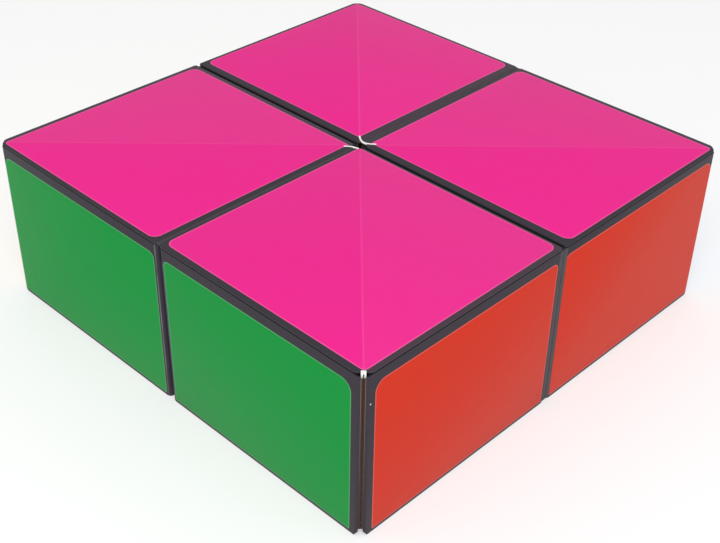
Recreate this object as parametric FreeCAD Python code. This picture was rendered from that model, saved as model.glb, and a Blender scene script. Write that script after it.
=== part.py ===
import FreeCAD, Part
import math
import os

# A folding puzzle cube laid open flat: eight hollow triangular blocks in a closed loop, joined edge to
# edge by the printed sheet that covers them.  Each pair of blocks makes one square of the flat toy, with a
# crease along its diagonal.  Folded up the other way, the same eight blocks make a solid cube.
# +Z is up and the origin is on the floor under the middle of the toy.  Lengths are in millimetres.

# ---- driving dimensions ----
CUBE_SIDE = 70.0            # edge of the closed cube
SHEET_THICKNESS = 0.5       # printed, laminated sheet
SHELL_WALL = 1.2            # moulded wall of a block
BASE_CAP_THICKNESS = 1.6    # lid that closes a block from below
HINGE_RISE = 0.15           # how far a fold line stands outside the faces it joins
SEAM_GAP = 0.8              # gap between two squares
CREASE_GAP = 0.8            # gap between the two blocks of one square
SQUARE_EDGE_ROUND = 0.9     # rounding of a block's upright edge with the right angle
SHARP_EDGE_ROUND = 0.7      # rounding of a block's two narrow upright edges
CAP_CLEARANCE = 0.1         # all round the lid, inside the shell
POST_RADIUS = 2.6           # posts inside the shell that take the lid's pins
POST_BITE = 0.5             # how far a post runs into the walls beside it
PIN_RADIUS = 1.3
PIN_CLEARANCE = 0.05        # on the radius of a pin in its post
PIN_LENGTH = 7.0            # of a pin above the lid
PIN_BORE_SPARE = 0.8        # depth of a post's bore beyond its pin
PIN_TIP_CHAMFER = 0.3
RIB_THICKNESS = 1.0         # triangular rib that stiffens the lid
RIB_HEIGHT = 1.4
RIB_INSET = 4.5             # from the lid's edge to the rib
FILM_END_SETBACK = 0.6      # how far a hinge film stops short of the fold's two ends
OPEN_PIVOT_CLEARANCE = 0.05 # from the open pivot's film to the block it isn't fixed to
SHEET_TIP_ROUND = 0.2       # rounding of a top sheet's two pointed corners, cut sharper than the block

# ---- what follows from them ----
HEIGHT = CUBE_SIDE / 2              # of every block: two layers make the cube
SQUARE_SIDE = CUBE_SIDE / math.sqrt(2)  # of one square of the flat toy
SHELL_BOTTOM = SHEET_THICKNESS
SHELL_TOP = HEIGHT - SHEET_THICKNESS
CAP_TOP = SHELL_BOTTOM + BASE_CAP_THICKNESS
CAVITY_INSET = SHEET_THICKNESS + SHELL_WALL
CAP_INSET = CAVITY_INSET + CAP_CLEARANCE
POST_INSET = CAVITY_INSET + POST_RADIUS - POST_BITE

# Going round the loop, a block's quarter turn about the middle, and whether it is the mirror image of
# the first.
BLOCKS = {
    "back_right": (0, False),
    "back_left": (0, True),
    "left_rear": (1, False),
    "left_green": (1, True),
    "front_green": (2, False),
    "front_orange": (2, True),
    "right_orange": (3, False),
    "right_rear": (3, True),
}


def plan_map(block):
    """The move in plan that carries the first block's outline to this block's place."""
    quarter, mirrored = BLOCKS[block]

    def move(x, y):
        if mirrored:
            x, y = y, x
        for _ in range(quarter):
            x, y = -y, x
        return x, y

    return move


def triangle(inset):
    """The first block's outline in plan, drawn in by inset.

    It runs from the tip at the middle of the toy to the right angle and on to the outer corner."""
    seam_y = SEAM_GAP / 2 + inset
    outer_x = SQUARE_SIDE - inset
    crease_shift = (CREASE_GAP / 2 + inset) * math.sqrt(2)
    tip = (seam_y + crease_shift, seam_y)
    square_corner = (outer_x, seam_y)
    outer_corner = (outer_x, outer_x - crease_shift)
    return [tip, square_corner, outer_corner]


def rounded_outline(points, radii, move, z):
    """A closed wire through plan points, with each corner rounded to its own radius."""
    edges = []
    starts, ends, middles = [], [], []
    for i, (x, y) in enumerate(points):
        before, after = points[i - 1], points[(i + 1) % len(points)]
        to_before = unit(before[0] - x, before[1] - y)
        to_after = unit(after[0] - x, after[1] - y)
        half_angle = math.acos(to_before[0] * to_after[0] + to_before[1] * to_after[1]) / 2
        setback = radii[i] / math.tan(half_angle)
        bisector = unit(to_before[0] + to_after[0], to_before[1] + to_after[1])
        crown = radii[i] / math.sin(half_angle) - radii[i]
        starts.append((x + to_before[0] * setback, y + to_before[1] * setback))
        ends.append((x + to_after[0] * setback, y + to_after[1] * setback))
        middles.append((x + bisector[0] * crown, y + bisector[1] * crown))
    for i in range(len(points)):
        start, middle, end = [at(move, p, z) for p in (starts[i], middles[i], ends[i])]
        following = at(move, starts[(i + 1) % len(points)], z)
        edges.append(Part.Arc(start, middle, end).toShape())
        edges.append(Part.LineSegment(end, following).toShape())
    return Part.Wire(edges)


def unit(x, y):
    """The direction of a plan vector."""
    length = math.hypot(x, y)
    return x / length, y / length


def at(move, point, z):
    """A plan point of the first block, carried to its place, at height z."""
    x, y = move(*point)
    return FreeCAD.Vector(x, y, z)


def block_prism(block, inset, bottom, top):
    """The block's outline, drawn in by inset, as an upright solid between two heights."""
    return sharper_prism(block, inset, bottom, top, SHARP_EDGE_ROUND)


def sharper_prism(block, inset, bottom, top, sharp_round):
    """The same, with its own rounding of the two narrow upright edges."""
    sharp = max(sharp_round - inset, sharp_round / 3)
    square = max(SQUARE_EDGE_ROUND - inset, SQUARE_EDGE_ROUND / 3)
    wire = rounded_outline(triangle(inset), [sharp, square, sharp], plan_map(block), bottom)
    return Part.Face(wire).extrude(FreeCAD.Vector(0, 0, top - bottom))


def post_places(block, z):
    """Where the three posts stand, one near each upright edge."""
    move = plan_map(block)
    return [at(move, point, z) for point in triangle(POST_INSET)]


def shell(block):
    """The moulded block: three walls and a roof, open below, with three posts that take the lid's pins."""
    body = block_prism(block, SHEET_THICKNESS, SHELL_BOTTOM, SHELL_TOP)
    roof_underside = SHELL_TOP - SHELL_WALL
    cavity = block_prism(block, CAVITY_INSET, SHELL_BOTTOM, roof_underside)
    body = body.cut(cavity)
    outline = block_prism(block, SHEET_THICKNESS, SHELL_BOTTOM, SHELL_TOP)
    bore_depth = PIN_LENGTH + PIN_BORE_SPARE
    for place in post_places(block, CAP_TOP):
        post = Part.makeCylinder(POST_RADIUS, SHELL_TOP - SHELL_WALL / 2 - CAP_TOP, place)
        body = body.fuse(post.common(outline))
    for place in post_places(block, CAP_TOP):
        body = body.cut(Part.makeCylinder(PIN_RADIUS + PIN_CLEARANCE, bore_depth, place))
    return body.removeSplitter()


def base_cap(block):
    """The lid: a plate inside the walls, against the posts, with three pins and a stiffening rib."""
    plate = block_prism(block, CAP_INSET, SHELL_BOTTOM, CAP_TOP)
    ribs = block_prism(block, CAP_INSET + RIB_INSET, CAP_TOP - RIB_THICKNESS / 2, CAP_TOP + RIB_HEIGHT)
    inside = block_prism(block, CAP_INSET + RIB_INSET + RIB_THICKNESS, CAP_TOP, CAP_TOP + RIB_HEIGHT)
    cap = plate.fuse(ribs.cut(inside))
    for place in post_places(block, CAP_TOP):
        ring = Part.makeCylinder(POST_RADIUS + CAP_CLEARANCE, RIB_HEIGHT, place)
        cap = cap.cut(ring)
    for place in post_places(block, CAP_TOP - BASE_CAP_THICKNESS / 2):
        length = PIN_LENGTH + BASE_CAP_THICKNESS / 2
        stem = Part.makeCylinder(PIN_RADIUS, length - PIN_TIP_CHAMFER, place)
        tip_base = place + FreeCAD.Vector(0, 0, length - PIN_TIP_CHAMFER)
        tip = Part.makeCone(PIN_RADIUS, PIN_RADIUS - PIN_TIP_CHAMFER, PIN_TIP_CHAMFER, tip_base)
        cap = cap.fuse(stem.fuse(tip))
    return cap.removeSplitter()


def side_wrap(block):
    """The printed sheet round the block's three upright faces."""
    outside = block_prism(block, 0, 0, SHELL_TOP)
    inside = block_prism(block, SHEET_THICKNESS, 0, SHELL_TOP)
    return outside.cut(inside)


def top_sheet(block):
    """This block's half of the square's printed top sheet."""
    return sharper_prism(block, 0, SHELL_TOP, HEIGHT, SHEET_TIP_ROUND)


def base_sheet(block):
    """The printed sheet under the lid, level with the lower edge of the side wrap."""
    return block_prism(block, SHEET_THICKNESS, 0, SHELL_BOTTOM)


def film_strip(direction_deg, start, end, width_low, width_high):
    """A hinge film in the top sheet's thickness, along a fold that runs out from the middle of the toy."""
    low = FreeCAD.Vector(start, width_low, SHELL_TOP)
    strip = Part.makeBox(end - start, width_high - width_low, SHEET_THICKNESS, low)
    strip.rotate(FreeCAD.Vector(0, 0, 0), FreeCAD.Vector(0, 0, 1), direction_deg)
    return strip


def crease_film(direction_deg):
    """The sheet across a square's diagonal crease, between its two blocks."""
    tip, _, corner = triangle(0)
    half = CREASE_GAP / 2
    start = math.hypot(*tip) + SHARP_EDGE_ROUND + FILM_END_SETBACK
    end = math.hypot(*corner) - SHARP_EDGE_ROUND - FILM_END_SETBACK
    return film_strip(direction_deg, start, end, -half, half)


def seam_film(direction_deg, free_side_clearance=0.0):
    """The sheet across a top seam, between two squares."""
    tip, _, _ = triangle(0)
    half = SEAM_GAP / 2
    start = tip[0] + SHARP_EDGE_ROUND + FILM_END_SETBACK
    end = SQUARE_SIDE - SQUARE_EDGE_ROUND - FILM_END_SETBACK
    return film_strip(direction_deg, start, end, -half, half - free_side_clearance)


def side_hinge_film(sign):
    """The upright sheet across the gap between two squares' outer faces, on the -Y side or the +Y side."""
    low_y = min(sign * SQUARE_SIDE, sign * (SQUARE_SIDE - SHEET_THICKNESS))
    half = SEAM_GAP / 2 + SQUARE_EDGE_ROUND
    height = SHELL_TOP - 2 * FILM_END_SETBACK
    low = FreeCAD.Vector(-half, low_y, FILM_END_SETBACK)
    strip = Part.makeBox(2 * half, SHEET_THICKNESS, height, low)
    for block in ("front_orange", "right_orange") if sign < 0 else ("left_rear", "back_left"):
        strip = strip.cut(block_prism(block, 0, 0, HEIGHT))
    return strip


os.makedirs("parts", exist_ok=True)
pieces = {}
for name in BLOCKS:
    pieces[name + "_shell"] = shell(name)
    pieces[name + "_base_cap"] = base_cap(name)
    pieces[name + "_side_wrap"] = side_wrap(name)
    pieces[name + "_top_sheet"] = top_sheet(name)
    pieces[name + "_base_sheet"] = base_sheet(name)
pieces["back_crease_film"] = crease_film(45)
pieces["left_crease_film"] = crease_film(135)
pieces["front_crease_film"] = crease_film(225)
pieces["right_crease_film"] = crease_film(315)
pieces["left_seam_film"] = seam_film(180)
pieces["right_seam_film"] = seam_film(0, OPEN_PIVOT_CLEARANCE)
pieces["front_side_hinge_film"] = side_hinge_film(-1)
pieces["rear_side_hinge_film"] = side_hinge_film(1)

for node, shape in pieces.items():
    shape.exportStep("parts/" + node + ".step")
    print(node, shape.isValid(), len(shape.Solids), round(shape.Volume, 2))
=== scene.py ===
import math

import bmesh
import bpy
from mathutils import Matrix, Vector


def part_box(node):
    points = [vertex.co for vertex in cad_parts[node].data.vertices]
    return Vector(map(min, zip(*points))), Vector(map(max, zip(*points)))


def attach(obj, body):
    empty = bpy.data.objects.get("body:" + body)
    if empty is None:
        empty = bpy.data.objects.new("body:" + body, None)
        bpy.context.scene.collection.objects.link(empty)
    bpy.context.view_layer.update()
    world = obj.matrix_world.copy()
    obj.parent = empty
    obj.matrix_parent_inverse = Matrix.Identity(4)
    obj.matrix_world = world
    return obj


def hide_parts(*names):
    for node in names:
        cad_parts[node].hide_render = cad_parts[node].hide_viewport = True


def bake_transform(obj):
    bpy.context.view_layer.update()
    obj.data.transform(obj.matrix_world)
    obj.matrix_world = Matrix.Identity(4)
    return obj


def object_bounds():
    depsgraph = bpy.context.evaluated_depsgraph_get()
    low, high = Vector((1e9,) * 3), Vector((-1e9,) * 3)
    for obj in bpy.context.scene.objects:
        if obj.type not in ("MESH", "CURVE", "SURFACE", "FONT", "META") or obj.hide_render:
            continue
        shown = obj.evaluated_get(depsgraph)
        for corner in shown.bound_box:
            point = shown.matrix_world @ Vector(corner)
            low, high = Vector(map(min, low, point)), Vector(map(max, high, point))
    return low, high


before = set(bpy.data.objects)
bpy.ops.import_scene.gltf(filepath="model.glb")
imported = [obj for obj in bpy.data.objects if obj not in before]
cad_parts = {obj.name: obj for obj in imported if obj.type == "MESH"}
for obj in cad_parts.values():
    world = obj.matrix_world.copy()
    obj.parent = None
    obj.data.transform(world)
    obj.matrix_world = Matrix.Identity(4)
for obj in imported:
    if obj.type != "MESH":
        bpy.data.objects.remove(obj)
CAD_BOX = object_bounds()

# ---- The printed side sheets ----
# Each of the eight hollow blocks has one strip of laminated card glued round its three upright faces, a
# dark ground printed with one coloured panel per face.  The strip's two cut ends meet at the corner where
# the block's crease comes out, so its pale core shows there.
MM = 0.001
NEAR = 0.01 * MM
SQUARE = CAD_BOX[1].x
HEIGHT = CAD_BOX[1].z
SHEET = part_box("back_right_top_sheet")[1].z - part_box("back_right_top_sheet")[0].z
SEAM_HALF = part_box("back_right_side_wrap")[0].y
CREASE_HALF = 0.4 * MM
CREASE_SHIFT = CREASE_HALF * math.sqrt(2)
WRAP_TOP = HEIGHT - SHEET
CUT_END = SQUARE * math.sqrt(2) - 0.85 * MM
CENTRE_CUT = 1.35 * MM
SQUARE_EDGE_ROUND = 0.9 * MM
CUT_EDGE_ROUND = 0.1 * MM
RIM_ROUND = 0.20 * MM
TIP_EDGE = 0.15 * MM
FOOT_CHAMFER = 1.3 * MM
SMOOTH_ANGLE = math.radians(35)
ALONG = Vector((1, 1, 0)).normalized()
ACROSS = Vector((1, -1, 0)).normalized()

# Going round the loop: a block's quarter turn about the middle, and whether it mirrors the first block.
BLOCKS = {
    "back_right": (0, False),
    "back_left": (0, True),
    "left_rear": (1, False),
    "left_green": (1, True),
    "front_green": (2, False),
    "front_orange": (2, True),
    "right_orange": (3, False),
    "right_rear": (3, True),
}

# The inks, as linear colour.
BORDER_INK = (0.034, 0.029, 0.037)
GREEN_INK = (0.001, 0.255, 0.038)
ORANGE_INK = (0.575, 0.027, 0.008)
BLUE_INK = (0.015, 0.130, 0.520)
YELLOW_INK = (0.800, 0.520, 0.020)
MAGENTA_INK = (0.795, 0.016, 0.256)
WHITE_INK = (0.720, 0.720, 0.700)
PURPLE_INK = (0.150, 0.035, 0.360)

# What each block's outer face, seam face and crease face are printed with.
FACE_INKS = {
    "back_right": (BLUE_INK, PURPLE_INK, YELLOW_INK),
    "back_left": (YELLOW_INK, WHITE_INK, YELLOW_INK),
    "left_rear": (YELLOW_INK, WHITE_INK, BLUE_INK),
    "left_green": (GREEN_INK, PURPLE_INK, BLUE_INK),
    "front_green": (GREEN_INK, PURPLE_INK, WHITE_INK),
    "front_orange": (ORANGE_INK, WHITE_INK, WHITE_INK),
    "right_orange": (ORANGE_INK, WHITE_INK, PURPLE_INK),
    "right_rear": (BLUE_INK, PURPLE_INK, PURPLE_INK),
}

# How far a panel stops from the face's foot, top, seam-side edge and crease-side edge.  The corner radii and
# the pale rim, just inside the panel's edge, are in mm, as the maps are.
FOOT_BORDER = 0.68 * MM
TOP_BORDER = {"right_orange": 2.35 * MM}
PLAIN_TOP_BORDER = 2.7 * MM
SEAM_BORDER = {"right_orange": 0.45 * MM}
PLAIN_SEAM_BORDER = 0.9 * MM
CREASE_BORDER = {"front_green": 2.0 * MM, "front_orange": 2.1 * MM}
PLAIN_CREASE_BORDER = 0.7 * MM
CREASE_CORNER_RADIUS = 2.2
SEAM_CORNER_RADIUS = 1.3
FOOT_CORNER_RADIUS = 0.3
PANEL_BLUR = 0.07
PALE_RIM_PLACE = 0.11
PALE_RIM_HALF = 0.14
PALE_RIM_STRENGTH = 0.36

# The top of each side sheet, under the top sheet's edge, is painted near-black: painted shade in the groove
# there.  A pale line is painted along the upright edges at the seams: a painted highlight.  The print is
# nicked beside the split front corner.
GROOVE_SHADE_DEPTH = 0.22 * MM
GROOVE_SHADE_FADE = 0.05 * MM
GROOVE_SHADE_COLOUR = (0.006, 0.005, 0.008)
EDGE_HIGHLIGHT_PLACE = 0.38
EDGE_HIGHLIGHT_HALF = 0.16
EDGE_HIGHLIGHT_COLOUR = (0.270, 0.270, 0.300)
NICK_PLACE = Vector((-47.85 * MM, -SQUARE, 28.6 * MM))
NICK_RADIUS = 0.20 * MM
NICK_COLOUR = (0.62, 0.58, 0.54)

# How fine the print's patterns are: slow mottling, fine grain and the card's waviness.
MOTTLE_SCALE = 140.0
GRAIN_SCALE = 1600.0
WAVE_SCALE = 45.0


class Ink:
    """One socket of a material.  Arithmetic on it adds Math nodes, and node() adds any other kind."""

    def __init__(self, tree, socket=None):
        self.tree = tree
        self.socket = socket

    def node(self, kind, settings, output, *values, **named):
        made = self.tree.nodes.new(kind)
        for setting, value in settings.items():
            setattr(made, setting, value)
        sockets = list(zip(made.inputs, values))
        sockets += [(made.inputs[name.replace("_", " ")], value) for name, value in named.items()]
        for socket, value in sockets:
            if isinstance(value, Ink):
                self.tree.links.new(value.socket, socket)
            elif value is not None:
                socket.default_value = value
        return Ink(self.tree, made.outputs[output])

    def math(self, operation, *values, clamp=False):
        return self.node("ShaderNodeMath", {"operation": operation, "use_clamp": clamp}, 0, *values)

    def __add__(self, other):
        return self.math("ADD", self, other)

    def __sub__(self, other):
        return self.math("SUBTRACT", self, other)

    def __mul__(self, other):
        return self.math("MULTIPLY", self, other)

    def __truediv__(self, other):
        return self.math("DIVIDE", self, other)

    def __gt__(self, other):
        return self.math("GREATER_THAN", self, other)

    def __radd__(self, other):
        return self.math("ADD", other, self)

    def __rsub__(self, other):
        return self.math("SUBTRACT", other, self)

    def __rmul__(self, other):
        return self.math("MULTIPLY", other, self)

    def __abs__(self):
        return self.math("ABSOLUTE", self)

    def highest(self, other):
        return self.math("MAXIMUM", self, other)

    def lowest(self, other):
        return self.math("MINIMUM", self, other)

    def share(self):
        """The value held between 0 and 1."""
        return self.math("ADD", self, 0.0, clamp=True)

    def parts(self):
        """The two first parts of a position."""
        return (
            self.node("ShaderNodeSeparateXYZ", {}, "X", self),
            self.node("ShaderNodeSeparateXYZ", {}, "Y", self),
        )

    def blended(self, colour_a, colour_b):
        """Colour a where the value is 0, colour b where it is 1."""
        pair = [colour if isinstance(colour, Ink) else (*colour, 1.0) for colour in (colour_a, colour_b)]
        unused = [None] * 5
        return self.node("ShaderNodeMix", {"data_type": "RGBA"}, 2, self, *unused, *pair)


def new_finish(name, roughness, specular=0.5, coat=0.0):
    """A material with one Principled shader; returns the material, its shader and an Ink to start from."""
    finish = bpy.data.materials.new(name)
    finish.use_nodes = True
    shader = finish.node_tree.nodes["Principled BSDF"]
    shader.inputs["Roughness"].default_value = roughness
    shader.inputs["Specular IOR Level"].default_value = specular
    shader.inputs["Coat Weight"].default_value = coat
    return finish, shader, Ink(finish.node_tree)


def feed(shader, name, ink):
    """Links a value to one of the shader's sockets."""
    ink.tree.links.new(ink.socket, shader.inputs[name])


def speckle(start, place, scale, detail=2.0):
    """Soft noise between 0 and 1."""
    return start.node("ShaderNodeTexNoise", {}, 0, Vector=place, Scale=scale, Detail=detail)


def roughen(shader, start, strength, distance, height):
    """Gives the shader a bump."""
    bump = start.node("ShaderNodeBump", {}, 0, Strength=strength, Distance=distance, Height=height)
    feed(shader, "Normal", bump)


def rounded_panel(across, up, half_across, half_up, radius):
    """Distance outside a rounded rectangle, below 0 inside it."""
    over_across = abs(across) - half_across + radius
    over_up = abs(up) - half_up + radius
    corner_across = over_across.highest(0.0)
    corner_up = over_up.highest(0.0)
    reach = across.math("SQRT", corner_across * corner_across + corner_up * corner_up)
    return reach + over_across.highest(over_up).lowest(0.0) - radius


def laminate(shader, start, ink, edge, place):
    """Glossy laminated card: ink inside the edge, dark ground outside and a faint rim between.  Sets the
    shader's roughness and bump and returns the colour."""
    inside = (0.5 - edge / PANEL_BLUR).share()
    rim = (1.0 - abs(edge + PALE_RIM_PLACE) / PALE_RIM_HALF).share()
    mottle = speckle(start, place, MOTTLE_SCALE)
    grain = speckle(start, place, GRAIN_SCALE, 3.0)
    faded = tuple(min(1.0, c * 0.94 + 0.006) for c in ink)
    pale = tuple(0.62 * c + 0.30 for c in ink)
    worn_border = tuple(1.35 * c for c in BORDER_INK)
    panel_colour = mottle.blended(ink, faded)
    border_colour = grain.blended(BORDER_INK, worn_border)
    printed = inside.blended(border_colour, panel_colour)
    feed(shader, "Roughness", 0.30 + mottle * 0.06 + grain * 0.08)
    wave = speckle(start, place, WAVE_SCALE, 1.0)
    roughen(shader, start, 0.25, 0.0003, wave * 0.5 + grain * 0.03)
    return (rim * PALE_RIM_STRENGTH).blended(printed, pale)


def panel_finish(name, ink):
    """Printed card whose panel is laid out by the piece's own two maps: place and half size, in mm."""
    finish, shader, start = new_finish(name, 0.32, 0.07)
    place = start.node("ShaderNodeUVMap", {"uv_map": "panel_place"}, 0)
    across, up = place.parts()
    half_across, half_up = start.node("ShaderNodeUVMap", {"uv_map": "panel_half"}, 0).parts()
    upper = up > 0.0
    crease_side = across > 0.0
    corner = SEAM_CORNER_RADIUS + crease_side * (CREASE_CORNER_RADIUS - SEAM_CORNER_RADIUS)
    radius = FOOT_CORNER_RADIUS + upper * (corner - FOOT_CORNER_RADIUS)
    edge = rounded_panel(across, up, half_across, half_up, radius)
    body_place = start.node("ShaderNodeTexCoord", {}, "Object")
    printed = laminate(shader, start, ink, edge, body_place)
    # Painted highlight: a pale line on the dark border just past the panel's seam-side edge, broken up by
    # noise.
    highlight_breakup = speckle(start, body_place, 260.0, 3.0)
    past_panel = 0.0 - across - half_across
    edge_highlight = (1.0 - abs(past_panel - EDGE_HIGHLIGHT_PLACE) / EDGE_HIGHLIGHT_HALF).share() * (highlight_breakup * 1.5 - 0.25).share()
    paled = (edge_highlight * 0.8).blended(printed, EDGE_HIGHLIGHT_COLOUR)
    height = start.node("ShaderNodeSeparateXYZ", {}, "Z", body_place)
    # Painted shade: the top strip of the side sheet, under the top sheet's edge, is painted near-black as
    # shade in the groove.
    groove_shade = ((height - (WRAP_TOP - GROOVE_SHADE_DEPTH)) / GROOVE_SHADE_FADE).share()
    with_groove_shade = (groove_shade * 0.9).blended(paled, GROOVE_SHADE_COLOUR)
    apart = {"operation": "DISTANCE"}
    off_nick = start.node("ShaderNodeVectorMath", apart, "Value", body_place, tuple(NICK_PLACE))
    nick = (1.0 - (off_nick / NICK_RADIUS - 0.6) / 0.4).share()
    feed(shader, "Base Color", (nick * 0.9).blended(with_groove_shade, NICK_COLOUR))
    return finish


def start_box(name, low, high):
    """A box between two corners, open for editing."""
    bpy.ops.object.select_all(action="DESELECT")
    size = [h - l for l, h in zip(low, high)]
    middle = [(h + l) / 2 for l, h in zip(low, high)]
    bpy.ops.mesh.primitive_cube_add(size=1, location=middle, scale=size)
    box = bpy.context.object
    box.name = name
    bpy.ops.object.transform_apply(location=True, rotation=True, scale=True)
    bpy.ops.object.mode_set(mode="EDIT")
    return box


def cut(place, normal, trim=True):
    """A straight cut through the whole mesh.  What lies on the normal's side goes, when trimming."""
    bpy.ops.mesh.select_all(action="SELECT")
    bpy.ops.mesh.bisect(plane_co=place, plane_no=normal, use_fill=trim, clear_outer=trim)


def pick(kind, test):
    """Selects the faces, edges or vertices of the mesh being edited that pass the test."""
    bpy.ops.mesh.select_mode(type={"faces": "FACE", "edges": "EDGE", "verts": "VERT"}[kind])
    bpy.ops.mesh.select_all(action="DESELECT")
    mesh = bmesh.from_edit_mesh(bpy.context.object.data)
    for element in getattr(mesh, kind):
        if test(element):
            element.select_set(True)
    bmesh.update_edit_mesh(bpy.context.object.data)


def middle_of(element):
    """The middle of a face or an edge."""
    total = Vector((0, 0, 0))
    for vertex in element.verts:
        total += vertex.co
    return total / len(element.verts)


def upright(edge):
    a, b = edge.verts
    return abs((a.co - b.co).normalized().z) > 0.9


def apply(obj, kind, **settings):
    """Adds a modifier and applies it."""
    modifier = obj.modifiers.new(kind, kind)
    for name, value in settings.items():
        setattr(modifier, name, value)
    bpy.context.view_layer.objects.active = obj
    bpy.ops.object.modifier_apply(modifier=modifier.name)


def block_move(block):
    """The turn or mirror image that carries the first block to this block's place."""
    quarter, mirrored = BLOCKS[block]
    swap = Matrix(((0, 1, 0, 0), (1, 0, 0, 0), (0, 0, 1, 0), (0, 0, 0, 1)))
    turn = Matrix.Rotation(quarter * math.pi / 2, 4, "Z")
    return turn @ swap if mirrored else turn


def placed_copy(pattern, name, block):
    """A copy of the first block's piece, carried to another block, with its own mesh."""
    copy = pattern.copy()
    copy.data = pattern.data.copy()
    copy.name = name
    copy.data.name = name
    bpy.context.collection.objects.link(copy)
    copy.data.transform(block_move(block))
    if BLOCKS[block][1]:
        copy.data.flip_normals()
    return copy


def wrap_pattern():
    """The first block's side sheet: an open three-sided tube with rounded upright edges."""
    wrap = start_box("wrap_pattern", (0, SEAM_HALF, 0), (SQUARE, SQUARE, WRAP_TOP))
    cut(ACROSS * CREASE_HALF, -ACROSS)
    cut(ALONG * CUT_END, ALONG)
    cut(ALONG * CENTRE_CUT, -ALONG)
    foot = ALONG * (CUT_END - FOOT_CHAMFER) + ACROSS * CREASE_HALF
    cut(foot, (ALONG - ACROSS * 1.2 - Vector((0, 0, 1.1))).normalized())
    pick("edges", lambda e: upright(e) and middle_of(e).x > SQUARE - MM and middle_of(e).y < MM)
    bpy.ops.mesh.bevel(offset=SQUARE_EDGE_ROUND, segments=5, affect="EDGES")
    pick("edges", lambda e: upright(e) and (middle_of(e) @ ALONG > CUT_END - MM or middle_of(e).x < 4 * MM))
    bpy.ops.mesh.bevel(offset=CUT_EDGE_ROUND, segments=2, affect="EDGES")
    pick("faces", lambda f: abs(f.normal.z) > 0.99)
    bpy.ops.mesh.delete(type="FACE")
    bpy.ops.object.mode_set(mode="OBJECT")
    apply(wrap, "SOLIDIFY", thickness=SHEET, offset=-1, use_even_offset=True)
    bpy.ops.object.mode_set(mode="EDIT")
    bpy.ops.mesh.select_all(action="SELECT")
    bpy.ops.mesh.normals_make_consistent(inside=False)
    pick("edges", outer_rim)
    bpy.ops.mesh.bevel(offset=RIM_ROUND, segments=2, affect="EDGES")
    bpy.ops.object.mode_set(mode="OBJECT")
    bpy.ops.object.shade_smooth_by_angle(angle=SMOOTH_ANGLE)
    return wrap


def outer_rim(edge):
    """An edge round the outside of the sheet's upper or lower rim, the tiny ones at its tips left out."""
    if upright(edge) or len(edge.link_faces) != 2 or edge.calc_length() < TIP_EDGE:
        return False
    a, b = edge.link_faces
    flat, side = (a, b) if abs(a.normal.z) > abs(b.normal.z) else (b, a)
    if abs(flat.normal.z) < 0.9 or abs(side.normal.z) > 0.7:
        return False
    away = middle_of(edge) - middle_of(flat)
    return away @ side.normal > 0


def side_of(normal):
    """Which of the first block's faces looks this way: 0 outer, 1 seam, 2 crease."""
    looks = (normal.x, -normal.y, -normal @ ACROSS)
    return looks.index(max(looks))


def lay_out_panels(wrap, block):
    """Writes where every point lies on its face's panel, and gives each face its own ink."""
    crease_border = CREASE_BORDER.get(block, PLAIN_CREASE_BORDER)
    seam_border = SEAM_BORDER.get(block, PLAIN_SEAM_BORDER)
    outer_end = SQUARE - CREASE_SHIFT
    spans = (
        (SEAM_HALF + seam_border, outer_end - crease_border),
        (SEAM_HALF + CREASE_SHIFT + 2 * PLAIN_CREASE_BORDER, SQUARE - seam_border),
        (2 * CENTRE_CUT, CUT_END - PLAIN_CREASE_BORDER),
    )
    directions = (Vector((0, 1, 0)), Vector((1, 0, 0)), ALONG)
    low, high = FOOT_BORDER, HEIGHT - TOP_BORDER.get(block, PLAIN_TOP_BORDER)
    back = block_move(block).inverted()
    turn = back.to_3x3()
    place_map = wrap.data.uv_layers.new(name="panel_place")
    half_map = wrap.data.uv_layers.new(name="panel_half")
    for face in wrap.data.polygons:
        side = side_of((turn @ face.normal).normalized())
        start, end = spans[side]
        face.material_index = side
        for corner in face.loop_indices:
            point = back @ wrap.data.vertices[wrap.data.loops[corner].vertex_index].co
            along = point @ directions[side] - (start + end) / 2
            up = point.z - (low + high) / 2
            place_map.data[corner].uv = (along / MM, up / MM)
            half_map.data[corner].uv = ((end - start) / 2 / MM, (high - low) / 2 / MM)


panel_finishes = {}
for block, inks in FACE_INKS.items():
    for ink in inks:
        if ink not in panel_finishes:
            panel_finishes[ink] = panel_finish(f"printed_panel_{len(panel_finishes) + 1}", ink)

first_wrap = wrap_pattern()
for block, inks in FACE_INKS.items():
    wrap = placed_copy(first_wrap, block + "_printed_sides", block)
    for ink in inks:
        wrap.data.materials.append(panel_finishes[ink])
    lay_out_panels(wrap, block)
    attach(wrap, block + "_block")
    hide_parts(block + "_side_wrap")
bpy.data.objects.remove(first_wrap)

# ---- The cut ends of the side sheets ----
# Where a strip of card starts and ends, at the outer end of the crease, its uncoated paper core stands a
# little proud of the block.  The hinge sheet's own cut end closes the gap over the uppermost millimetre.
CORE_INNER = 0.008 * MM
CORE_SKIN = 0.34 * MM
CORE_BLUR = 0.08 * MM
CORE_OUTER = 0.42 * MM
CORE_START = CUT_END - 0.6 * MM
CORE_END = CUT_END + 0.03 * MM
CORE_FOOT = 1.7 * MM
CAP_FOOT = HEIGHT - 1.0 * MM
FRONT_CAP_TOP = HEIGHT - 0.06 * MM
CAP_TOP = {"front_green": FRONT_CAP_TOP, "front_orange": FRONT_CAP_TOP}
PLAIN_CAP_TOP = WRAP_TOP
CAP_INNER = 0.004 * MM
CORE_ROUND = 0.11 * MM
CAP_START = CUT_END - 0.75 * MM
CAP_FADE = 0.15 * MM
CAP_SHADED = 0.7 * MM
FOOT_SHADE_FULL_BELOW = 3 * MM
FOOT_SHADE_FADE_OVER = 26 * MM
# Painted shade: the darkest colour for the foot, the brown for the gap inside and the grey for the cap's foot
# stand in for shade.
CORE_COLOURS = {
    "foot_shade": (0.030, 0.024, 0.022),
    "cream": (0.26, 0.20, 0.13),
    "inside": (0.040, 0.018, 0.015),
    "cap_foot_shade": (0.38, 0.35, 0.31),
    "cap_top": (0.80, 0.79, 0.77),
}
FIBRE_SCALE = 2500.0


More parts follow.
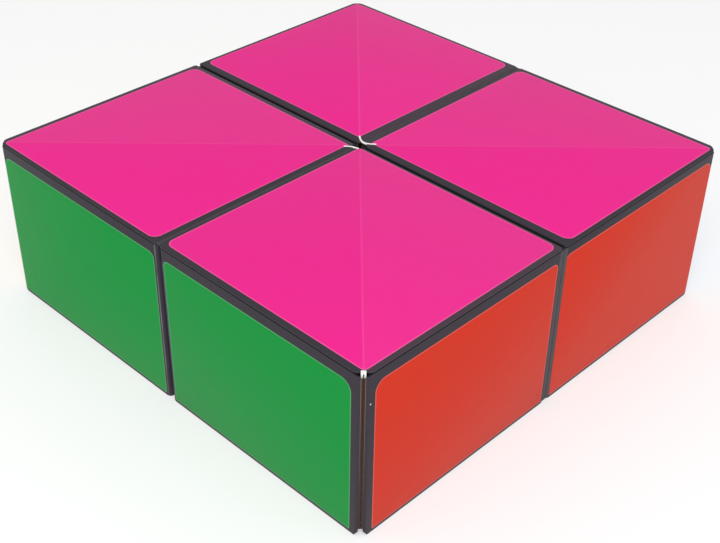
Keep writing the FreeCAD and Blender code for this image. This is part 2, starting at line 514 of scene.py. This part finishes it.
def core_pattern(cap_top):
    """The first block's cut end, made along X and then turned to the crease's direction."""
    core = start_box("core_pattern", (CAP_START, -CORE_OUTER, CORE_FOOT), (CORE_END, -CORE_INNER, cap_top))
    cut((0, 0, CAP_FOOT), (0, 0, 1), trim=False)
    pick("faces", lambda f: f.normal.y > 0.9 and middle_of(f).z > CAP_FOOT)
    bpy.ops.mesh.extrude_region_move(TRANSFORM_OT_translate={"value": (0, CORE_INNER - CAP_INNER, 0)})
    pick("faces", lambda f: f.normal.x < -0.9 and middle_of(f).z < CAP_FOOT)
    bpy.ops.transform.translate(value=(CORE_START - CAP_START, 0, 0))
    bpy.ops.mesh.select_all(action="SELECT")
    bpy.ops.mesh.normals_make_consistent(inside=False)
    pick("edges", lambda e: middle_of(e).y < -CORE_INNER / 2 and middle_of(e).x > CORE_END - NEAR)
    bpy.ops.mesh.bevel(offset=CORE_ROUND, segments=2, affect="EDGES")
    bpy.ops.object.mode_set(mode="OBJECT")
    core.rotation_euler = (0, 0, math.pi / 4)
    bpy.ops.object.transform_apply(location=True, rotation=True, scale=True)
    bpy.ops.object.shade_smooth_by_angle(angle=SMOOTH_ANGLE)
    return core


def core_finish():
    """Uncoated card core: white at the cap, painted greyer towards its foot as painted shade; below it cream
    outside, with painted shade as dark brown in the gap inside, and painted shade darkening it towards the
    foot.
    """
    finish, shader, start = new_finish("card_core", 0.75, 0.3)
    place = start.node("ShaderNodeTexCoord", {}, "Object")
    up = start.node("ShaderNodeSeparateXYZ", {}, "Z", place)
    fibre = speckle(start, place, FIBRE_SCALE, 3.0)
    capped = ((up - CAP_FOOT) / CAP_FADE).share()
    # Painted shade: the cream edge is painted darker towards the foot, down in the gap.
    out_of_foot_shade = ((up - FOOT_SHADE_FULL_BELOW) / FOOT_SHADE_FADE_OVER).share()
    cream_with_foot_shade = (out_of_foot_shade * 0.75 + fibre * 0.3).share().blended(CORE_COLOURS["foot_shade"], CORE_COLOURS["cream"])
    # Painted shade: the middle of the cut end, in the gap between the two blocks' sheets, is painted dark
    # brown; only the outer edge is cream.
    east, north = place.parts()
    off_middle = abs(abs(east) - abs(north)) / math.sqrt(2)
    outside = ((off_middle - (CORE_SKIN - CORE_BLUR / 2)) / CORE_BLUR).share()
    cream = outside.blended(CORE_COLOURS["inside"], cream_with_foot_shade)
    # Painted shade: the white cap is painted greyer towards its foot.
    cap_out_of_shade = ((up - CAP_FOOT) / CAP_SHADED - fibre * 0.3).share()
    white = cap_out_of_shade.blended(CORE_COLOURS["cap_foot_shade"], CORE_COLOURS["cap_top"])
    feed(shader, "Base Color", capped.blended(cream, white))
    feed(shader, "Roughness", 0.68 + fibre * 0.2)
    roughen(shader, start, 0.4, 0.0001, fibre)
    return finish


card_core = core_finish()
for block in BLOCKS:
    first_core = core_pattern(CAP_TOP.get(block, PLAIN_CAP_TOP))
    first_core.data.materials.append(card_core)
    core = placed_copy(first_core, block + "_cut_end", block)
    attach(core, block + "_block")
    bpy.data.objects.remove(first_core)

# ---- The four magenta top sheets ----
# One square of printed card is glued over each pair of blocks and creased along the diagonal between them,
# where it is scored thin from below.  Its outer corner is cut back, and its inner tip ends just short of the
# middle of the toy.
SQUARES = {
    "front": (2, "front_green", "front_orange", (-48.4, -0.9), (-48.6, -0.8)),
    "left": (1, "left_rear", "left_green", (-48.9, -1.5), (1.6, 48.4)),
    "back": (0, "back_right", "back_left", (2.1, 48.7), (2.3, 48.7)),
    "right": (3, "right_orange", "right_rear", (2.1, 48.4), (-48.8, -1.1)),
}
TOP_LEVEL = HEIGHT - 0.10 * MM
TOP_CUT_END = {"front": SQUARE * math.sqrt(2) - 1.35 * MM}
PLAIN_TOP_CUT_END = CUT_END - 0.05 * MM
SHEET_CORNER_ROUND = 0.5 * MM
TOP_EDGE_ROUND = 0.16 * MM
UNDER_EDGE_ROUND = 0.14 * MM
SCORE_HALF = 0.26 * MM
SCORE_DEPTH = 0.24 * MM
BEND_CUTS = 7
RIGHT_CORNER_RADIUS = 1.7
TIP_RADIUS = 0.15
OUTER_TIP_RADIUS = 0.9
# Painted highlight along the crease, and painted light on one half of each square.
CREASE_HIGHLIGHT_HALF = 0.22
CREASE_HIGHLIGHT_COLOUR = (1.0, 0.55, 0.75)
LIT_HALF_COLOUR = (1.0, 0.35, 0.62)
DARK_MOTTLE_SCALE = 300.0
WORN_DARK = (0.105, 0.098, 0.104)


def lay_flat(piece, upright_axis=1):
    """Gives a piece its own map of where each point lies, in mm, from X and one other axis."""
    layer = piece.data.uv_layers.new(name="sheet_place")
    for corner in piece.data.loops:
        point = piece.data.vertices[corner.vertex_index].co
        layer.data[corner.index].uv = (point.x / MM, point[upright_axis] / MM)


def in_metres(start):
    """A piece's own map, read in metres."""
    place = start.node("ShaderNodeUVMap", {"uv_map": "sheet_place"}, 0)
    return start.node("ShaderNodeVectorMath", {"operation": "SCALE"}, 0, place, Scale=MM)


def dark_finish(name, paled):
    """The dark ground of the print alone, mottled a little paler in places."""
    finish, shader, start = new_finish(name, 0.34, 0.10)
    place = in_metres(start)
    grain = speckle(start, place, GRAIN_SCALE, 3.0)
    mottle = speckle(start, place, DARK_MOTTLE_SCALE)
    feed(shader, "Base Color", (mottle * paled + grain * 0.3).blended(BORDER_INK, WORN_DARK))
    feed(shader, "Roughness", 0.30 + grain * 0.16)
    roughen(shader, start, 0.3, 0.0001, grain)
    return finish


hinge_ink = dark_finish("dark_hinge_sheet", 0.35)


def top_pattern(cut_end):
    """The first square's sheet: cut, scored along the diagonal, with softened edges."""
    low = (SEAM_HALF, SEAM_HALF, WRAP_TOP)
    sheet = start_box("top_pattern", low, (SQUARE, SQUARE, TOP_LEVEL))
    cut(ALONG * cut_end, ALONG)
    cut(ALONG * CENTRE_CUT, -ALONG)
    pick("edges", lambda e: upright(e) and middle_of(e) @ ALONG > 2 * CENTRE_CUT)
    bpy.ops.mesh.bevel(offset=SHEET_CORNER_ROUND, segments=4, affect="EDGES")
    pick("edges", lambda e: flat_rim(e) and middle_of(e).z > TOP_LEVEL - NEAR)
    bpy.ops.mesh.bevel(offset=TOP_EDGE_ROUND, segments=3, affect="EDGES")
    pick("edges", lambda e: flat_rim(e) and middle_of(e).z < WRAP_TOP + NEAR)
    bpy.ops.mesh.bevel(offset=UNDER_EDGE_ROUND, segments=2, affect="EDGES")
    for k in range(BEND_CUTS):
        offset = CREASE_HALF * (2 * k / (BEND_CUTS - 1) - 1)
        cut(ACROSS * offset, ACROSS, trim=False)
    pick("verts", lambda v: v.co.z < WRAP_TOP + NEAR and abs(v.co @ ACROSS) < SCORE_HALF)
    bpy.ops.transform.translate(value=(0, 0, SCORE_DEPTH))
    bpy.ops.mesh.select_all(action="SELECT")
    bpy.ops.mesh.normals_make_consistent(inside=False)
    bpy.ops.object.mode_set(mode="OBJECT")
    bpy.ops.object.shade_smooth_by_angle(angle=SMOOTH_ANGLE)
    return sheet


def flat_rim(edge):
    """An edge between a level face and an upright one."""
    if len(edge.link_faces) != 2:
        return False
    tilts = sorted(abs(f.normal.z) for f in edge.link_faces)
    return tilts[0] < 0.5 and tilts[1] > 0.9


def square_finish(name, across_span, up_span, diagonal, outer_side):
    """A magenta panel on the dark ground, with a painted highlight as a faint paler line along the crease on
    one diagonal, and one half of the square painted a little lighter.
    """
    finish, shader, start = new_finish(name, 0.32, 0.07)
    whole_east, whole_north = start.node("ShaderNodeUVMap", {"uv_map": "sheet_place"}, 0).parts()
    east = whole_east - sum(across_span) / 2
    north = whole_north - sum(up_span) / 2
    on_crease = (east * north * diagonal) > 0.0
    outward = (east * outer_side) > 0.0
    tip_radius = TIP_RADIUS + outward * (OUTER_TIP_RADIUS - TIP_RADIUS)
    radius = RIGHT_CORNER_RADIUS + on_crease * (tip_radius - RIGHT_CORNER_RADIUS)
    half_east = (across_span[1] - across_span[0]) / 2
    half_north = (up_span[1] - up_span[0]) / 2
    edge = rounded_panel(east, north, half_east, half_north, radius)
    printed = laminate(shader, start, MAGENTA_INK, edge, in_metres(start))
    # Painted highlight along the crease, and painted light on the half of the square on one side of it.
    off_crease = whole_east - whole_north * diagonal
    line = (1.0 - abs(off_crease) / math.sqrt(2) / CREASE_HIGHLIGHT_HALF).share()
    with_lit_half = ((off_crease > 0.0) * 0.02).blended(printed, LIT_HALF_COLOUR)
    feed(shader, "Base Color", (line * 0.06).blended(with_lit_half, CREASE_HIGHLIGHT_COLOUR))
    return finish


for square, (quarter, block_a, block_b, east_span, north_span) in SQUARES.items():
    sheet = top_pattern(TOP_CUT_END.get(square, PLAIN_TOP_CUT_END))
    sheet.name = square + "_top_sheet_printed"
    turn = Matrix.Rotation(quarter * math.pi / 2, 4, "Z")
    sheet.data.transform(turn)
    lay_flat(sheet)
    diagonal = 1 if quarter % 2 == 0 else -1
    outer_side = 1 if quarter in (0, 3) else -1
    magenta = square_finish(square + "_magenta", east_span, north_span, diagonal, outer_side)
    sheet.data.materials.append(magenta)
    sheet.data.materials.append(hinge_ink)
    for face in sheet.data.polygons:
        face.material_index = 1 if face.normal.z < -0.3 else 0
    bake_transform(sheet)
    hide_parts(block_a + "_top_sheet", block_b + "_top_sheet", square + "_crease_film")

# ---- The seams between the squares ----
# At two of the four seams the top sheet runs on from one square to the next as a dark, creased hinge.  The
# left one folds here; the right one is where the loop is opened, so its hinge stays with one block.
STRIP_START = 1.3 * MM
STRIP_END = SQUARE - 0.25 * MM
STRIP_TOP = TOP_LEVEL - 0.02 * MM
STRIP_THICKNESS = 0.30 * MM
STRIP_HALF = SEAM_HALF - 0.02 * MM
GROOVE_DEPTH = 0.16 * MM
STRIP_ROUND = 0.03 * MM
STRIP_CUTS = 4


def seam_strip(name, side):
    """A hinge strip along X with a shallow groove at its fold; side is -1 on the left, 1 on the right."""
    ends = sorted((side * STRIP_START, side * STRIP_END))
    low = (ends[0], -STRIP_HALF, STRIP_TOP - STRIP_THICKNESS)
    strip = start_box(name, low, (ends[1], STRIP_HALF, STRIP_TOP))
    for k in range(1 - STRIP_CUTS, STRIP_CUTS):
        cut((0, k * STRIP_HALF / STRIP_CUTS, 0), (0, 1, 0), trim=False)
    pick("verts", lambda v: v.co.z > STRIP_TOP - NEAR and abs(v.co.y) < NEAR)
    bpy.ops.transform.translate(value=(0, 0, -GROOVE_DEPTH))
    pick("edges", lambda e: middle_of(e).z > STRIP_TOP - NEAR and abs(middle_of(e).y) > STRIP_HALF - NEAR)
    bpy.ops.mesh.bevel(offset=STRIP_ROUND, segments=2, affect="EDGES")
    bpy.ops.object.mode_set(mode="OBJECT")
    bpy.ops.object.shade_smooth_by_angle(angle=SMOOTH_ANGLE)
    lay_flat(strip)
    strip.data.materials.append(hinge_ink)
    return strip


left_strip = seam_strip("left_seam_hinge", -1)
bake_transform(left_strip)
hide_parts("left_seam_film")
right_strip = seam_strip("right_seam_hinge", 1)
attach(right_strip, "right_rear_block")
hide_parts("right_seam_film")

# ---- The side hinges ----
# At the other two seams the side sheets are joined instead: one dark strip bridges the rounded edges of the
# two squares from top to foot, creased down its middle.
FLAP_HALF = 1.12 * MM
FLAP_CORE = 0.42 * MM
FLAP_SKIN = 0.02 * MM
FLAP_DEPTH = 0.20 * MM
FLAP_FOOT = 0.5 * MM
FLAP_HEAD = WRAP_TOP - 0.25 * MM
FLAP_GROOVE = 0.13 * MM
FLAP_CUTS = (-1, -0.66, -0.33, 0, 0.33, 0.66, 1)


def side_hinge(name, side):
    """A creased strip on the -Y side or the +Y side, bridging the two blocks there."""
    face = side * (SQUARE - 0.005 * MM)
    ends = sorted((face, face - side * FLAP_SKIN))
    strip = start_box(name, (-FLAP_HALF, ends[0], FLAP_FOOT), (FLAP_HALF, ends[1], FLAP_HEAD))
    for share in FLAP_CUTS:
        cut((share * FLAP_CORE, 0, 0), (1, 0, 0), trim=False)
    pick("verts", lambda v: abs(v.co.y) < SQUARE - NEAR and abs(v.co.x) < FLAP_CORE + NEAR)
    bpy.ops.transform.translate(value=(0, -side * FLAP_DEPTH, 0))
    pick("verts", lambda v: abs(v.co.y) > SQUARE - NEAR and abs(v.co.x) < NEAR)
    bpy.ops.transform.translate(value=(0, -side * FLAP_GROOVE, 0))
    bpy.ops.object.mode_set(mode="OBJECT")
    bpy.ops.object.shade_smooth_by_angle(angle=SMOOTH_ANGLE)
    lay_flat(strip, upright_axis=2)
    strip.data.materials.append(hinge_ink)
    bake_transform(strip)
    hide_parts(name.replace("_strip", "_film"))


side_hinge("front_side_hinge_strip", -1)
side_hinge("rear_side_hinge_strip", 1)

# ---- The raw edges at the middle ----
# Round the middle of the toy each pair's sheet ends in a cut edge whose white core shows.  One edge runs
# from the front tip to the left one, the other from the right tip to the back one, a dark gap between them.
RAW_RADIUS = 0.22 * MM
RAW_LEVEL = HEIGHT - RAW_RADIUS
RAW_GREY = (0.80, 0.77, 0.72)
RAW_WHITE = (0.95, 0.94, 0.92)


def raw_finish():
    """Freshly cut white card, a little fibrous."""
    finish, shader, start = new_finish("raw_card_edge", 0.75, 0.3)
    fibre = speckle(start, in_metres(start), FIBRE_SCALE, 3.0)
    feed(shader, "Base Color", fibre.blended(RAW_GREY, RAW_WHITE))
    feed(shader, "Roughness", 0.68 + fibre * 0.2)
    return finish


raw_card = raw_finish()


def raw_edge(name, route):
    """A thin bar of card core, let into the sheet along a plan route in mm."""
    bpy.ops.object.select_all(action="DESELECT")
    bpy.ops.curve.primitive_nurbs_path_add(location=(0, 0, 0))
    bar = bpy.context.object
    bar.name = name
    line = bar.data.splines[0]
    line.points.add(max(0, len(route) - len(line.points)))
    for point, (x, y) in zip(line.points, route):
        point.co = (x * MM, y * MM, RAW_LEVEL, 1)
    line.use_endpoint_u = True
    line.order_u = 3
    line.resolution_u = 8
    bar.data.bevel_depth = RAW_RADIUS
    bar.data.bevel_resolution = 3
    bar.data.use_fill_caps = True
    bpy.ops.object.convert(target="MESH")
    bpy.ops.object.shade_smooth()
    lay_flat(bar)
    bar.data.materials.append(raw_card)
    return bar


left_route = [(-1.15, -0.85), (-1.3, -0.4), (-1.5, 0.45), (-1.95, 1.2), (-2.6, 1.8)]
left_raw = raw_edge("left_pair_raw_edge", left_route)
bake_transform(left_raw)
back_raw = raw_edge("back_raw_edge", [(1.3, 0.4), (1.35, 0.8), (1.6, 1.3), (1.9, 1.8), (2.5, 2.5)])
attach(back_raw, "back_right_block")
right_raw = raw_edge("right_raw_edge", [(1.3, 0.36), (1.25, -0.1), (1.45, -0.7), (1.9, -1.4), (2.5, -2.05)])
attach(right_raw, "right_rear_block")

# ---- The base sheets ----
# A printed triangle of the same card is glued under each block's lid, level with the foot of its side sheet.
# Its panel is green or orange, inside the dark ground.
BASE_BORDER = 1.6 * MM
BASE_INKS = {
    "back_right": ORANGE_INK,
    "back_left": GREEN_INK,
    "left_rear": GREEN_INK,
    "left_green": ORANGE_INK,
    "front_green": ORANGE_INK,
    "front_orange": GREEN_INK,
    "right_orange": GREEN_INK,
    "right_rear": ORANGE_INK,
}


def base_finish(name, ink):
    """A triangular panel inside a dark border, the same on all blocks by their mirror symmetry."""
    finish, shader, start = new_finish(name, 0.34, 0.13)
    place = start.node("ShaderNodeTexCoord", {}, "Object")
    east, north = place.parts()
    far = abs(east).highest(abs(north))
    near = abs(east).lowest(abs(north))
    from_seam = near - SEAM_HALF
    from_side = SQUARE - far
    from_crease = (far - near) / math.sqrt(2) - CREASE_HALF
    inset = from_seam.lowest(from_side).lowest(from_crease)
    feed(shader, "Base Color", laminate(shader, start, ink, (BASE_BORDER - inset) / MM, place))
    return finish


base_finishes = {
    ORANGE_INK: base_finish("printed_base_orange", ORANGE_INK),
    GREEN_INK: base_finish("printed_base_green", GREEN_INK),
}
for block, ink in BASE_INKS.items():
    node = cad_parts[block + "_base_sheet"]
    node.data.materials.clear()
    node.data.materials.append(base_finishes[ink])

# ---- The moulded shells and their lids ----
# Off-white moulded plastic, satin, hidden under the card: the shell with its three posts, and the lid whose
# pins press into them.
MOULD_SCALE = 900.0
CLOUD_SCALE = 60.0
PLASTIC_COLOURS = ((0.70, 0.70, 0.68), (0.76, 0.76, 0.73))


def moulded_finish():
    """Satin plastic with the faint texture of the mould."""
    finish, shader, start = new_finish("moulded_plastic_satin", 0.5, 0.4)
    place = start.node("ShaderNodeTexCoord", {}, "Object")
    texture = speckle(start, place, MOULD_SCALE, 3.0)
    clouds = speckle(start, place, CLOUD_SCALE)
    feed(shader, "Base Color", clouds.blended(*PLASTIC_COLOURS))
    feed(shader, "Roughness", 0.44 + texture * 0.14)
    roughen(shader, start, 0.3, 0.0002, texture)
    return finish


moulded_plastic = moulded_finish()
for block in BLOCKS:
    for part in ("_shell", "_base_cap"):
        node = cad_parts[block + part]
        node.data.materials.clear()
        node.data.materials.append(moulded_plastic)

# ---- The stage ----
# A plain white floor under the toy that glows faintly, so that shadows and bounced colour stay weak, a wide
# soft light above it and an even white surround.
bpy.ops.object.select_all(action="DESELECT")
bpy.ops.mesh.primitive_plane_add(size=6, location=(0, 0, 0))
floor = bpy.context.object
floor.name = "floor"
floor_finish, floor_shader, _ = new_finish("floor_paper", 0.9, 0.1)
floor_shader.inputs["Base Color"].default_value = (0.60, 0.60, 0.60, 1)
floor_shader.inputs["Emission Color"].default_value = (1, 1, 1, 1)
floor_shader.inputs["Emission Strength"].default_value = 0.38
floor.data.materials.append(floor_finish)

world = bpy.data.worlds.new("surround")
bpy.context.scene.world = world
world.use_nodes = True
world.node_tree.nodes["Background"].inputs["Color"].default_value = (1, 1, 1, 1)
world.node_tree.nodes["Background"].inputs["Strength"].default_value = 0.66

LIGHT_PLACE = Vector((-0.38, -0.36, 0.52))
light_data = bpy.data.lights.new("soft_light", "AREA")
light_data.shape = "DISK"
light_data.size = 0.5
light_data.energy = 3.3
soft_light = bpy.data.objects.new("soft_light", light_data)
bpy.context.collection.objects.link(soft_light)
soft_light.location = LIGHT_PLACE
soft_light.rotation_euler = (-LIGHT_PLACE).to_track_quat("-Z", "Y").to_euler()

# The camera stands in front of the split corner, a little to one side of its diagonal and well above.
camera_data = bpy.data.cameras.new("camera")
camera_data.lens = 61.78
camera_data.sensor_width = 36.0
camera = bpy.data.objects.new("camera", camera_data)
bpy.context.collection.objects.link(camera)
camera.location = (-3.059 * SQUARE, -2.959 * SQUARE, 3.098 * SQUARE)
view_back = -Vector((0.5887, 0.5668, -0.5764)).normalized()
view_right = Vector((0.7010, -0.7130, 0.0148))
view_right = (view_right - view_back * (view_right @ view_back)).normalized()
view_up = view_back.cross(view_right)
camera.rotation_euler = Matrix((view_right, view_up, view_back)).transposed().to_euler()
bpy.context.scene.camera = camera
bpy.context.scene.view_settings.view_transform = "Standard"
camera_data.clip_start = 0.01
